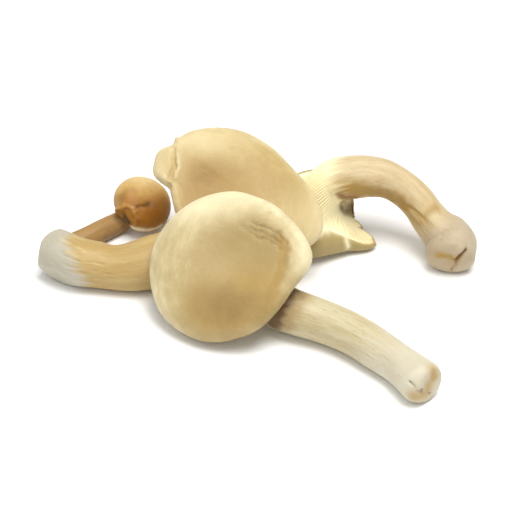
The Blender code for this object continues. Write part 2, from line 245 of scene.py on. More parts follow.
BACK = {
    "name": "back_mushroom",
    "stem": (
        (-102.5, 14.6, 11.6, 11.6), (-96.5, 9.7, 11.6, 12.3), (-89, 5.6, 11.6, 12.1), (-80, 4.2, 11, 11.6),
        (-72, 2.8, 10.8, 11.2), (-64, 2.3, 11.6, 12), (-55.5, 3.5, 12.6, 13.2), (-46, 5.3, 14.3, 13.5),
        (-36, 8.5, 16.6, 12.8), (-26.5, 12.2, 20, 12), (-18.5, 16, 25.5, 11.5),
    ),
    "base_bulge": 0.35,
    "trims": (((-108.4, 14, 12), (-0.97, 0.2, 0.1)), ((-95.6, -3.3, 9.2), (-0.49, -0.8, -0.35))),
    "cap_centre": (-6.5, 22.1, 38.8),
    "cap_normal": (0.15, -0.45, 0.88),
    "rim": (
        (38.5, 0, 2.8), (33.2, 0.6, 2.8), (31, 1, 3), (33.4, 0.5, 3), (38.2, -0.3, 3.2), (42.3, -0.8, 3.4),
        (45.6, -0.6, 3.6), (40.6, 0, 3.4), (36.6, -0.6, 2.6), (34.8, -1.4, 2.2), (29.6, -0.8, 2.2),
        (26, 0, 2.2), (24, 0, 2.2), (27, 0, 2.4), (38, -0.6, 2.8), (43.1, -0.6, 2.8),
    ),
    "crown": 10,
    "lobes": ((0.437, 0.034, 8, -4),),
    "dimples": ((-16, -4, 20, 5),),
    "gills": 64,
    "gill_depth": 3,
    "fold": 1,
    "lump": 1,
    "neck": (9, 10),
    "felt": (17, 7.5, 4),
    "whorl": (-14, -6),
    "wear_and_shade_patches": (
        ("tan", -21, 3, 15, 19, 0.8, 2.5),
        ("tan", -6, 6, 28, 18, 0.5, 3),
        ("tan", 14, 6, 20, 12, 0.25, 2),
        ("cream", 38, -12, 12, 26, 0.4, 2),
        ("cream", -24, 29, 18, 8, 0.45, 2),
        ("cream", 2, 32, 16, 5, 0.2, 2),
        ("brown", -22, 7, 12, 12, 0.26, 2.5),
        ("cream", -44, 10, 10, 14, 0.3, 2),
    ),
    "carved": (
        (1.3, 2, 0.25,
         (-41.5, 40.5, 57.2), (-41.5, 36, 55.6), (-40.6, 31, 53.7), (-42.6, 26.5, 50.5), (-43.3, 22.4, 46)),
        (1.2, -0.7, 0, (-39.3, 38.5, 57.2), (-38.3, 34.5, 55.8), (-38.2, 30.5, 53.9), (-39.7, 25.5, 50)),
        (1.8, -2.6, 0.5, (-39.4, 44.6, 58.2)),
        (0.7, 0.5, 0.1, (-90, -5, 17.5), (-80, -6.5, 15), (-70, -7.5, 14.5)),
        (0.6, 0.4, 0.1, (-92, -4, 20), (-84, -4, 19.5), (-76, -5, 18.5)),
        (0.8, -0.4, 0, (-99.5, 9.8, 23.8), (-94.2, 5.7, 23.8), (-90, 2.8, 23.5)),
        (0.8, -0.4, 0, (-96.9, 2.7, 22.2), (-91.9, -0.6, 21.6), (-86, -3.9, 19.9)),
        (0.5, 0.5, 0.12, (-96.5, 9.5, 24), (-90.5, 4.5, 23.9), (-84.5, 0.8, 22.8)),
        (0.5, 0.5, 0.12, (-98.5, 2, 20.9), (-92, -2.4, 19.8), (-85, -5.4, 17.6)),
        (0.6, 0.4, 0.1, (-96.9, -2.3, 18), (-89.8, -5.8, 15.7), (-82.9, -7.3, 11.8)),
    ),
    "stains_and_shade": (
        ("brown", 0.9, 0.7, (-25.6, 27.3, 50.9)),
        ("brown", 1.2, 0.4, (-12.1, 40, 57.8)),
        ("cream", 1.1, 0.9, (-40, 38.5, 57.2), (-39, 34.5, 55.8), (-39, 30.5, 53.9), (-40.5, 25.5, 50)),
        ("tan", 2, 0.6, (-43, 30, 52), (-43.6, 25, 48.5)),
        ("cream", 0.8, 0.35, (-97.5, 8.3, 23.8), (-93.2, 5, 23.7)),
        ("cream", 0.7, 0.25, (-89.6, 2.6, 23.5), (-84.8, -0.4, 22.5)),
        ("cream", 0.8, 0.35, (-94.9, 1.2, 22.2), (-89.5, -2, 21)),
        ("cream", 0.7, 0.2, (-91.5, 11.2, 23.6), (-86.8, 8.5, 23.6)),
    ),
}

RIGHT = {
    "name": "right_mushroom",
    "stem": (
        (98.9, 12.8, 9.9, 12.1), (99.3, 22, 12.9, 13.1), (93.4, 26.4, 16.6, 10.4), (87.6, 31.4, 21.8, 9.4),
        (82, 37.2, 27, 9.1), (74.6, 42, 32, 9), (66.2, 44.2, 35.8, 9.8), (56.2, 44.6, 37, 10.8),
        (47, 45, 35.4, 11.5), (39.4, 45.2, 32, 12),
    ),
    "base_bulge": 0.45,
    "cap_centre": (31.0, 38.2, 18.2),
    "cap_normal": (-0.34, 0.45, -0.825),
    "rim": (
        (24.4, 2.6, 1.4), (34.2, -0.9, 1.6), (25.6, 0, 5.2), (22.8, 0, 6.8), (23.8, 0, 7.2), (25, 0, 6.2),
        (26, 0, 5.4), (26, 0, 5.2), (26, 0, 4.6), (25, 0, 4), (24, 0, 3.2), (23.6, 0, 2.4), (24.8, 0, 2.2),
        (26.5, 0, 2.2), (26.5, 0, 2.2), (23.5, 0, 1.8),
    ),
    "crown": 9,
    "torn": ((0.014, 0.036, 3.8),),
    "peaks": ((0.0625, 0.01, 1.4),),
    "dimples": ((0, 0, 16, 3),),
    "gills": 60,
    "gill_depth": 2.6,
    "fold": 0.55,
    "lump": 0.8,
    "neck": (13, 12),
    "felt": (20, 4, 7),
    "whorl": (0, 0),
    "carved": (
        (1, 1.6, 0.9,
         (101.5, 6.7, 12.8), (102.7, 6.7, 13.7), (102.6, 6.7, 15), (104.1, 7.1, 15.9), (105.3, 7.8, 17.7)),
        (1.6, -0.8, 0, (99.2, 7.2, 15.4), (101.3, 6.9, 17.6), (103.6, 7.5, 19.2)),
        (0.9, 1, 0.7, (101.5, 6.7, 12.8), (100.4, 7.9, 6.8), (99.2, 9.6, 3.5)),
        (1, 0.7, 0.2, (91.9, 8.3, 14.1), (96.4, 7.1, 14.5), (101.5, 6.7, 12.8)),
        (3, 2.2, 0, (46.6, 37.5, 26), (47.5, 42, 19.5), (49.5, 45.5, 15)),
        (1, 0.6, 0, (73.4, 32.4, 29.6), (79.4, 28.4, 28.2), (84.7, 23.6, 26), (93.9, 13.6, 22.2)),
    ),
    "stains_and_shade": (
        ("brown", 2.6, 0.8, (42.5, 33.8, 33), (45.4, 34, 31.2), (50.5, 35.2, 30.4)),
        ("tan", 5.5, 1, (44, 33.8, 37), (55.5, 33.8, 35), (65.8, 34.5, 32.5), (76, 31, 27.5)),
        ("ochre", 3.5, 0.45, (45, 33.5, 36.5), (54, 33.5, 35)),
        ("ochre", 4, 0.35, (40.2, 33.9, 36.1), (45.2, 34.4, 38.9)),
        ("ochre", 4, 0.35, (85.8, 28.8, 31.7), (88.3, 26.9, 29.9)),
        ("ochre", 4.5, 0.3, (56.4, 31.9, 5.6), (52, 32.5, 8.5)),
        # Painted shade in the hollow under the cap's curled edge, beside the stem
        ("dark", 3.8, 0.9, (45.6, 37, 26), (46.9, 44.5, 17.5), (49.4, 46.4, 14.6), (51, 46.2, 13.6)),
        ("dark", 1.4, 1, (101.5, 6.7, 12.8), (103.3, 6.8, 15.9), (105.3, 7.8, 17.7)),
        ("brown", 1.1, 0.8, (101.5, 6.7, 12.8), (100.4, 7.9, 6.8), (99.2, 9.6, 3.5)),
        ("ochre", 3.5, 0.35, (99, 7, 12), (98.5, 8, 8)),
        ("ochre", 2, 1, (91.9, 8.3, 14.1), (96.4, 7.1, 14.5), (101.5, 6.7, 12.8)),
        ("ochre", 1.6, 0.5, (61.5, 31, 5), (60, 32.5, 5.5)),
        ("tan", 4, 0.6, (59.5, 31.5, 6), (54, 31, 8)),
        ("cream", 1.5, 0.9, (45.8, 29.5, 10), (46.1, 25.1, 10.8), (47.4, 23.8, 7)),
        ("tan", 2.6, 0.6, (86, 24, 28), (88.3, 25.9, 29.4), (92, 28.4, 29.4)),
        ("tan", 1.6, 0.9, (73.4, 32.4, 29.6), (79.4, 28.4, 28.2), (84.7, 23.6, 26), (93.9, 13.6, 22.2)),
        # Painted shade: darker tan on the stem's shaded underside
        ("tan", 5, 0.7, (76, 29, 25), (82, 24, 22), (87, 17, 16)),
    ),
}

SMALL = {
    "name": "small_mushroom",
    "stem": (
        (-99, 29, 4.7, 4.8), (-91.5, 31.2, 5.2, 5.5), (-84.5, 36.3, 5.4, 5.8), (-78, 42.3, 5.4, 5.8),
        (-72, 46.7, 5.6, 5.6), (-65.4, 50.4, 8.4, 5.4),
    ),
    "base_bulge": 0.5,
    "trims": (((-100.5, 28.4, 5), (-0.9, -0.4, 0.1)),),
    "cap_centre": (-60.2, 52.6, 12.4),
    "cap_normal": (0.38, -0.38, 0.845),
    "rim": (
        (15.8, 0, 2), (15.8, 0, 2), (15.6, 0, 2), (15.6, 0, 2), (15.8, 0, 2), (15.6, 0, 1.8), (15, 0, 1.5),
        (14.4, 0, 1.4), (15, 0, 1.6), (15.6, 0, 1.8), (15.8, 0, 2), (15.8, 0, 2),
    ),
    "crown": 11,
    "dimples": ((0, 0, 7, 1),),
    "flare": (0.5, 0.5),
    "gills": 44,
    "gill_depth": 1.4,
    "fold": 0.9,
    "lump": 0.5,
    "neck": (2.5, 2),
    "felt": (0, 0, 1),
    "whorl": (2, 2),
    "wear_and_shade_patches": (
        ("tan", 8, -5, 10, 11, 0.85, 2.5),
        ("tan", -9, -3, 6, 8, 0.7, 2),
        ("tan", 0, -8, 12, 5, 0.6, 2),
        ("tan", 3, -11, 15, 9, 0.9, 3),
        ("cream", -4, 12, 13, 6, 0.35, 2),
        ("brown", -7.5, 2.5, 3.6, 3, 0.4, 2.5),
        ("brown", -12.5, -1, 2.6, 5, 0.45, 2.5),
        ("brown", 2, -3.5, 6.5, 3, 0.4, 2.5),
        ("brown", 12, -3, 4, 8, 0.35, 2.5),
    ),
    "carved": (
        (2.2, 3, 0.9, (-68.5, 41.8, 13), (-66.5, 40.8, 10.5)),
        (1.2, -1.9, 0,
         (-71.5, 44.5, 15), (-67.8, 43.3, 18.6), (-63.5, 41.5, 18), (-62, 39, 14.5), (-62.5, 38.2, 11.5)),
        (1.2, 0.9, 0.6, (-62.5, 41.9, 19), (-58.5, 43, 19.6), (-54.9, 44.9, 18.9)),
    ),
    "stains_and_shade": (
        ("brown", 1.8, 1, (-68.5, 41.8, 12), (-66.5, 40.8, 10)),
        ("cream", 0.9, 0.35, (-67.8, 43.3, 19.2), (-63.5, 41.5, 18.8), (-61.6, 38.6, 14.5)),
        ("brown", 3, 0.6, (-71.9, 44.5, 9), (-69.5, 43, 6.5)),
        ("brown", 1.8, 0.6, (-62.5, 41.9, 19.4), (-59.5, 42.6, 19.8)),
        ("cream", 1.4, 0.9, (-65, 38.4, 8.4), (-60.2, 38, 7.6), (-54, 39.3, 6.6), (-49.6, 42.2, 6.6)),
        ("brown", 4, 0.55, (-78, 34.5, 5), (-72, 37, 4.6), (-68, 38.6, 4.6)),
    ),
}

MUSHROOMS = tuple({**COMMON, **row} for row in (FRONT, BACK, RIGHT, SMALL))

# The masks that stains and painted shade are kept in
STAIN_AND_SHADE_MASKS = ("tan", "ochre", "brown", "dark", "cream")

# The masks of plain flesh, for the rings that leave them out
PLAIN = {
    "stem": 0.0,
    "felt": 0.0,
    "bare": 1.0,
    "cap": 0.0,
    "edge": 0.0,
    "gill_phase": 0.0,
    "gill_room": 0.0,
    "gill_run": 0.0,
}


# The loft

def smooth_rows(rows, places, closed=False):
    """Read rows of numbers at places, from 0 to 1, on a smooth curve through the rows."""
    rows = np.asarray(rows, float)
    count = len(rows)
    spans = count if closed else count - 1
    along = np.asarray(places, float) * spans
    index = np.clip(along.astype(int), 0, spans - 1)
    f = (along - index)[:, None]
    near = [index + step for step in (-1, 0, 1, 2)]
    near = [i % count if closed else np.clip(i, 0, count - 1) for i in near]
    a, b, c, d = (rows[i] for i in near)
    bend = (2 * a - 5 * b + 4 * c - d) * f**2 + (3 * b - a - 3 * c + d) * f**3
    return b + 0.5 * ((c - a) * f + bend)


def unit(vectors):
    """The same directions, one long."""
    return vectors / np.linalg.norm(vectors, axis=-1, keepdims=True)


def soft_step(low, high, values):
    """0 below low, 1 above high, and smooth between."""
    t = np.clip((values - low) / (high - low), 0.0, 1.0)
    return t * t * (3 - 2 * t)


def noise_at(places):
    """Soft noise, from about -1 to 1, at places in space."""
    return np.array([noise.noise(Vector(place)) for place in places])


def cap_axes(row):
    """The cap's own axes: to its right, to its back, and out of its crown."""
    up = unit(np.array(row["cap_normal"]))
    right = unit(np.array((1.0, 0.0, 0.0)) - up[0] * up)
    return right, np.cross(up, right), up


def stem_length(middles):
    """The length of a line of points."""
    return np.linalg.norm(np.diff(middles, axis=0), axis=1).sum()


def stem_line(row, axes):
    """The stem's middles, radii, directions and two sideways axes, from the base up."""
    right, _, up = axes
    rows = np.array(row["stem"])
    steps = round(stem_length(rows[:, :3]) / FRAME_SPACING)
    places = np.arange(steps + 1)
    points = smooth_rows(rows, places / steps)
    middles = points[:, :3]
    directions = unit(middles[np.minimum(places + 1, steps)] - middles[np.maximum(places - 1, 0)])
    turned = Vector(up).rotation_difference(Vector(directions[-1]))
    side = np.array(turned @ Vector(right))
    sides = np.zeros_like(middles)
    for i in reversed(places):
        side = unit(side - side.dot(directions[i]) * directions[i])
        sides[i] = side
    return middles, points[:, 3], directions, sides, np.cross(directions, sides)


def circle(middle, radius, side, other, angles):
    """A ring of points round the middle."""
    return middle + radius * (np.cos(angles)[:, None] * side + np.sin(angles)[:, None] * other)


def turns_from(place, turns):
    """How far turns are from a place round the cap, half a turn at most and either way."""
    return (turns - place + 0.5) % 1.0 - 0.5


def rim(row, turns):
    """The radius, the height and the roll of the cap's edge at turns round it."""
    radius, rise, roll = smooth_rows(row["rim"], turns % 1.0, closed=True).T
    for place, width, reach, lift in row["lobes"]:
        share = np.exp(-((turns_from(place, turns) / width) ** 4))
        radius = radius + reach * share
        rise = rise + lift * share
    for place, width, size in row["torn"]:
        apart = turns_from(place, turns)
        teeth = noise_at((turn * TEETH, *TEETH_START) for turn in apart)
        radius = radius + TEETH_REACH * size * teeth * np.exp(-((apart / width) ** 4))
    for place, width, reach in row["peaks"]:
        radius = radius + reach * np.exp(-np.abs(turns_from(place, turns)) / width)
    return radius, rise, roll


def rim_turns(row, axes, stem, count):
    """Turns round the cap that spread mostly evenly as seen from where the stem meets it."""
    right, back, up = axes
    middle, direction = stem[0][-1], stem[2][-1]
    centre = np.array(row["cap_centre"])
    under = (centre - middle).dot(up)
    reach = min(STEM_REACH, under / max(direction.dot(up), LEAST_SLOPE))
    foot = middle + reach * direction - centre
    fine = np.arange(TURN_STEPS * count + 1) / (TURN_STEPS * count)
    angle = math.tau * fine
    edge = rim(row, fine)[0]
    across = edge * np.cos(angle) - foot.dot(right)
    away = edge * np.sin(angle) - foot.dot(back)
    turned = (np.arctan2(away, across) - angle + math.pi) % math.tau - math.pi
    seen = angle + GILL_SPREAD * turned
    wanted = seen[0] + math.tau * np.arange(count) / count
    return np.interp(wanted, seen, fine), seen[0]


def cap_points(row, axes, turns, share, height):
    """Points at turns round the cap, a share of the way to its edge, and a height over its rim."""
    right, back, up = axes
    radius, rise, _ = rim(row, turns)
    angle = math.tau * turns
    out = radius * share
    place = np.array(row["cap_centre"])
    place = place + (out * np.cos(angle))[:, None] * right + (out * np.sin(angle))[:, None] * back
    return place + (height + rise * share * share)[:, None] * up


def lip_points(row, axes, turns, degrees):
    """Points on the rolled edge; 0 degrees is the widest place and 90 the lowest."""
    angle = np.radians(degrees)
    radius, _, roll = rim(row, turns)
    share = 1 - roll * (1 - np.cos(angle)) / radius
    return cap_points(row, axes, turns, share, -roll * np.sin(angle))


def evened(ring, spread):
    """Smooth a ring round itself, over a spread in degrees."""
    for _ in range(round(2 * (spread * len(ring) / 360) ** 2)):
        ring = 0.5 * ring + 0.25 * (np.roll(ring, 1, 0) + np.roll(ring, -1, 0))
    return ring


def underside(row, axes, stem, shares):
    """The underside's rings, not yet folded, those of the rolled edge, and how deep gills may fold.

    The first rings run from the stem to the inner end of the rolled edge. Gills fold less where the
    underside doubles back along the stem.
    """
    up = axes[2]
    middle, radius, direction, side, other = (part[-1] for part in stem)
    turns, first = rim_turns(row, axes, stem, BASE_TURNS)
    angles = first + math.tau * np.arange(BASE_TURNS) / BASE_TURNS
    start = circle(middle, radius, side, other, angles)
    drop = lip_points(row, axes, turns, np.full(BASE_TURNS, LIP_LOWEST)) - start
    below = np.maximum(drop @ up, 0.0)
    beside = np.linalg.norm(drop - (drop @ up)[:, None] * up, axis=1)
    ends = np.minimum(LIP_MOST, LIP_LOWEST + LIP_TURN - np.degrees(np.arctan2(below, beside)))
    lips = [lip_points(row, axes, turns, ends * step / LIP_STEPS) for step in range(LIP_STEPS, 0, -1)]
    end = lips[0]

    # The underside arrives in line with the inner third of the rolled edge
    before = lip_points(row, axes, turns, ends * 2 / 3)
    pull_stem, pull_lip = row["flare"]
    span = np.linalg.norm(end - start, axis=1)[:, None]
    turning = np.maximum(0.0, -(unit(end - start) @ direction))[:, None]
    leave = direction * span * (pull_stem + HOLLOW_PULL * turning)
    arrive = unit(before - end) * span * pull_lip
    rings = []
    for t in shares:
        ring = start * (2 * t**3 - 3 * t**2 + 1) + leave * (t**3 - 2 * t**2 + t)
        ring = ring + end * (3 * t**2 - 2 * t**3) + arrive * (t**3 - t**2)
        rings.append(evened(ring, EVENING_SPREAD * (1 - t)))
    rings[0] = start
    return rings, lips[1:], (1 - turning) ** 2


def crown_drop(row, offset, axes):
    """How far the crown is lowered at places round the cap's middle."""
    right, back, _ = axes
    drop = np.zeros(len(offset))
    for across, away, width, depth in row["dimples"]:
        apart = np.hypot(offset @ right - across, offset @ back - away)
        drop += depth * np.exp(-((apart / width) ** 2))
    return drop


class Skin:
    """The points of a loft, ring by ring, with the masks kept on each point."""

    def __init__(self):
        self.points = []
        self.masks = {}
        self.faces = []
        self.last = None

    def add(self, points, **masks):
        """Add a ring, with the masks of plain flesh where it has none of its own, and join it to the last."""
        start = sum(len(p) for p in self.points)
        ring = np.arange(start, start + len(points))
        self.points.append(np.asarray(points, float))
        for name, value in {**PLAIN, **masks}.items():
            value = np.asarray(value, float)
            shape = (len(points), 3) if value.shape[-1:] == (3,) else (len(points),)
            self.masks.setdefault(name, []).append(np.broadcast_to(value, shape))
        if self.last is not None:
            self.join(self.last, ring)
        self.last = ring

    def join(self, lower, upper):
        """Join two closed rings, which may differ in number."""
        if len(lower) == len(upper):
            square = np.stack((lower, np.roll(lower, -1), np.roll(upper, -1), upper), axis=1)
            self.faces += square.tolist()
            return
        i = j = 0
        lower, upper = lower.tolist(), upper.tolist()
        while i < len(lower) or j < len(upper):
            # Go on along the ring whose next point comes first; a ring of one point has no next one
            next_lower = (i + 1) / len(lower) if len(lower) > 1 else 2.0
            next_upper = (j + 1) / len(upper) if len(upper) > 1 else 2.0
            a = lower[i % len(lower)]
            b = upper[j % len(upper)]
            if next_lower <= next_upper:
                self.faces.append((a, lower[(i + 1) % len(lower)], b))
                i += 1
            else:
                self.faces.append((a, upper[(j + 1) % len(upper)], b))
                j += 1
            if len(lower) == 1 and j == len(upper) or len(upper) == 1 and i == len(lower):
                break


def line_distance(points, line):
    """How far each point is from a line of points."""
    line = np.array(line, float)
    near = np.linalg.norm(points - line[0], axis=1)
    for a, b in zip(line, line[1:]):
        t = np.clip((points - a) @ (b - a) / (b - a).dot(b - a), 0.0, 1.0)
        near = np.minimum(near, np.linalg.norm(points - a - t[:, None] * (b - a), axis=1))
    return near


def trimmed(points, trims):
    """Bring points that are beyond a knife cut back onto it."""
    for place, facing in trims:
        normal = unit(np.array(facing, float))
        points = points - np.maximum(0.0, (points - np.array(place)) @ normal)[:, None] * normal
    return points


def lumps(points, size):
    """Soft unevenness of a given size at each point, as three directions."""
    return np.array([[noise.noise(Vector(p) / size + start) for start in LUMP_STARTS] for p in points])


def around(turns, size):
    """Places on a circle of a given size, so that noise read there meets itself after a full turn."""
    return np.stack((np.cos(math.tau * turns), np.sin(math.tau * turns)), axis=1) * size


def fringe(turns):
    """An uneven border, from about -1 to 1, that differs from streak to streak round a stem."""
    border = 0.0
    for size, strength in FRINGE_PARTS:
        border = border + strength * noise_at((x, y, FRINGE_START) for x, y in around(turns, size))
    return border


def stem_mask(left, fade, ragged):
    """1 on the stem, and 0 where there is none of it left, with a ragged border."""
    return soft_step(0.0, fade, left + NECK_WANDER * fade * ragged)


def stem_grain(round_stem, run):
    """Where the flesh's grain is read: on a circle round the stem, at a distance along it."""
    return np.c_[round_stem, np.full(len(round_stem), run * FIBRE_STRETCH)] * MM


def stem_rings(stem, angles, shares):
    """Rings on a smooth surface through the stem's own circles, at shares of its length."""
    middles, radii, _, sides, others = stem
    circles = np.array([circle(*ring, angles) for ring in zip(middles, radii, sides, others)])
    return smooth_rows(circles.reshape(len(middles), -1), shares).reshape(len(shares), -1, 3)


def base_and_stem(row, skin, stem, runs, first):
    """The rounded cut end and the stem, up to where the gills start to run down it."""
    middles, radii, directions, sides, others = stem
    turns = np.arange(STEM_SIDES) / STEM_SIDES
    angles = first + math.tau * turns
    ragged = fringe(turns)
    neck, fade = row["neck"]
    felt, lean, soft = row["felt"]
    reach = radii[0] * row["base_bulge"]
    rings = []
    for step in range(BASE_RINGS):
        angle = math.pi / 2 * step / BASE_RINGS
        centre = middles[0] - reach * math.cos(angle) * directions[0]
        count = 1 if step == 0 else STEM_SIDES
        points = circle(centre, radii[0] * math.sin(angle), sides[0], others[0], angles[:count])
        rings.append((points, centre, radii[0], -reach * math.cos(angle)))
    length = runs[-1]
    runs = runs[runs < length - neck]
    for run, points in zip(runs, stem_rings(stem, angles, runs / length)):
        centre = points.mean(axis=0)
        rings.append((points, centre, np.linalg.norm(points[0] - centre), run))
    for points, middle, radius, run in rings:
        count = len(points)
        low = (points - middle) @ LOW_FRONT / radius
        beyond = run - felt - lean * low + FELT_WANDER * ragged[:count]
        skin.add(
            points,
            stem=stem_mask(length - run, fade, ragged[:count]),
            felt=(1 - soft_step(-soft, soft, beyond)) if felt else 0.0,
            bare=soft_step(*BARE_RANGE, run),
            grain=stem_grain(around(turns[:count], radius), run),
        )


def gills_and_lip(row, skin, stem, runs, first):
    """The gills, from where they run out on the stem, and the rolled edge of the cap."""
    radius = stem[1][-1]
    gills = row["gills"]
    neck, fade = row["neck"]
    shares = np.linspace(0.0, 1.0, GILL_STEPS)
    rings, lips, shallow = underside(row, cap_axes(row), stem, shares)
    phases = (np.arange(gills)[:, None] + np.array(GILL_SECTION)[None, :]).ravel()
    straight = phases / gills
    wobble = noise_at((k * WOBBLE_STEP, *WOBBLE_START) for k in range(gills)) * GILL_WOBBLE
    shift = np.interp(phases, np.arange(gills + 1), np.append(wobble, wobble[0]))
    ragged = fringe(straight)
    round_stem = around(straight, radius)

    # Low ribs on the stem, which grow from nothing
    steep = smooth_rows(shallow, straight, closed=True)[:, 0]
    angles = first + math.tau * straight
    pitch = math.tau * radius / gills
    length = runs[-1]
    runs = runs[(runs >= length - neck) & (runs < length)]
    for run, points in zip(runs, stem_rings(stem, angles, runs / length)):
        left = length - run
        skin.add(
            points,
            stem=stem_mask(left, fade, ragged),
            grain=stem_grain(round_stem, run),
            gill_phase=phases,
            gill_room=NECK_RIBS * row["fold"] * pitch * steep * (1 - left / neck) * MM,
        )

    # The gills themselves, which run out again at the rolled edge
    for t, ring in zip(shares, rings):
        sway = SWAY * np.sin(math.tau * (SWAY_WAVES * straight + SWAY_TURN * t)) * math.sin(math.pi * t)
        grown = soft_step(0.0, GILL_START, t)
        places = ((phases + shift * grown + sway) / gills) % 1.0
        points = smooth_rows(ring, places, closed=True)
        pitch = np.linalg.norm(np.roll(points, -len(GILL_SECTION), 0) - points, axis=1)
        deep = np.minimum(row["gill_depth"], row["fold"] * pitch)
        deep = deep * smooth_rows(shallow, places, closed=True)[:, 0]
        taper = NECK_RIBS + (1 - NECK_RIBS) * grown
        taper *= math.sin(math.pi * max(t, 0.5)) ** GILL_TAPER if t < 1.0 else 0.0
        skin.add(
            points,
            stem=stem_mask(-UNDER_FADE * t, fade, ragged),
            grain=stem_grain(round_stem, length + UNDER_GRAIN * t),
            gill_phase=phases,
            gill_room=deep * taper * MM,
            gill_run=t,
        )
    for step, ring in enumerate(lips):
        skin.add(
            smooth_rows(ring, straight, closed=True),
            grain=stem_grain(round_stem, length + UNDER_GRAIN),
            cap=soft_step(0.0, SKIN_FADE, (step + 1) / LIP_STEPS + SKIN_WANDER * ragged),
            edge=1.0,
            gill_run=1.0,
        )


def crown(row, skin, stem):
    """The crown, from the rolled edge up to its middle, which closes in one point."""
    axes = cap_axes(row)
    right, back, up = axes
    turns = rim_turns(row, axes, stem, CROWN_SIDES)[0]
    across, away = row["whorl"]
    power = 2 / CROWN_ROUNDNESS
    for ring in range(CROWN_RINGS + 1):
        angle = math.pi / 2 * (1 - ring / CROWN_RINGS)
        share = math.sin(angle) ** power if ring < CROWN_RINGS else 0.0
        height = row["crown"] * max(math.cos(angle), 0.0) ** power if ring else 0.0
        count = CROWN_SIDES if ring < CROWN_RINGS else 1
        points = cap_points(row, axes, turns[:count], share, height)
        offset = points - np.array(row["cap_centre"])
        if ring:
            inside = 1 - soft_step(HOLLOW_FADE, 1.0, share)
            points = points - inside * crown_drop(row, offset, axes)[:, None] * up
        whorl = np.stack((offset @ right - across, offset @ back - away), axis=1)
        apart = np.hypot(*whorl.T) + 1e-6
        swirl = WHORL_SIZE * whorl / apart[:, None] * soft_step(0.0, WHORL_CALM, apart)[:, None]
        skin.add(
            points,
            grain=np.c_[swirl, apart] * MM,
            cap=1.0,
            edge=soft_step(RIM_START, 1.0, share),
            gill_run=1.0,
        )


def loft(row):
    """Every ring of one mushroom, from the cut end of its stem to the middle of its crown."""
    axes = cap_axes(row)
    stem = stem_line(row, axes)
    first = rim_turns(row, axes, stem, BASE_TURNS)[1]
    length = stem_length(stem[0])
    runs = np.linspace(0.0, length, round(length / STEM_SPACING) + 1)
    skin = Skin()
    base_and_stem(row, skin, stem, runs, first)
    gills_and_lip(row, skin, stem, runs, first)
    crown(row, skin, stem)
    return skin


def skin_mesh(row):
    """The mesh of one mushroom before its relief, with its masks as attributes."""
    skin = loft(row)
    points = np.concatenate(skin.points)
    masks = {name: np.concatenate(parts) for name, parts in skin.masks.items()}
    points = trimmed(points + row["lump"] * lumps(points, LUMP_SIZE), row["trims"])
    mesh = bpy.data.meshes.new(row["name"])
    mesh.from_pydata(points.tolist(), [], skin.faces)
    mesh.update()

    # Faces that look outwards give a signed volume above nothing, read from the first corners of each
    corners = points[[face[:3] for face in skin.faces]]
    if np.einsum("ij,ij->i", corners[:, 0], np.cross(corners[:, 1], corners[:, 2])).sum() < 0:
        mesh.flip_normals()
    normals = np.zeros(len(points) * 3)
    mesh.vertex_normals.foreach_get("vector", normals)
    normals = normals.reshape(-1, 3)

    # Creases, ridges, stains and painted shade, along lines that wander a little
    wander = lumps(points, WANDER_SIZE)
    for name in STAIN_AND_SHADE_MASKS:
        masks[name] = np.zeros(len(points))
    for width, depth, shade, *line in row["carved"]:
        crease = np.exp(-((line_distance(points + CREASE_WANDER * wander, line) / width) ** 2))
        points = points - depth * crease[:, None] * normals
        # Brown along a crease: partly its own colour and partly painted shade in it
        masks["brown"] = np.maximum(masks["brown"], shade * crease)
    right, back, _ = cap_axes(row)
    offset = points - np.array(row["cap_centre"])
    for name, across, away, width, depth, strength, firmness in row["wear_and_shade_patches"]:
        apart = np.hypot((offset @ right - across) / width, (offset @ back - away) / depth)
        patch = strength * masks["cap"] * np.exp(-(apart**firmness))
        masks[name] = 1 - (1 - masks[name]) * (1 - patch)
    for name, width, strength, *line in row["stains_and_shade"]:
        near = line_distance(points + STAIN_AND_SHADE_WANDER * width * wander, line)
        masks[name] = np.maximum(masks[name], strength * np.exp(-((near / width) ** 2)))
    points[:, :2] += CLUSTER_SHIFT
    points[:, 2] = np.maximum(points[:, 2], 0.0)
    mesh.vertices.foreach_set("co", (points * MM).ravel())
    for name, values in masks.items():
        kind = "FLOAT_VECTOR" if values.ndim == 2 else "FLOAT"
        layer = mesh.attributes.new(name, kind, "POINT")
        layer.data.foreach_set("vector" if values.ndim == 2 else "value", values.ravel())
    mesh.update()
    return mesh


# Node trees

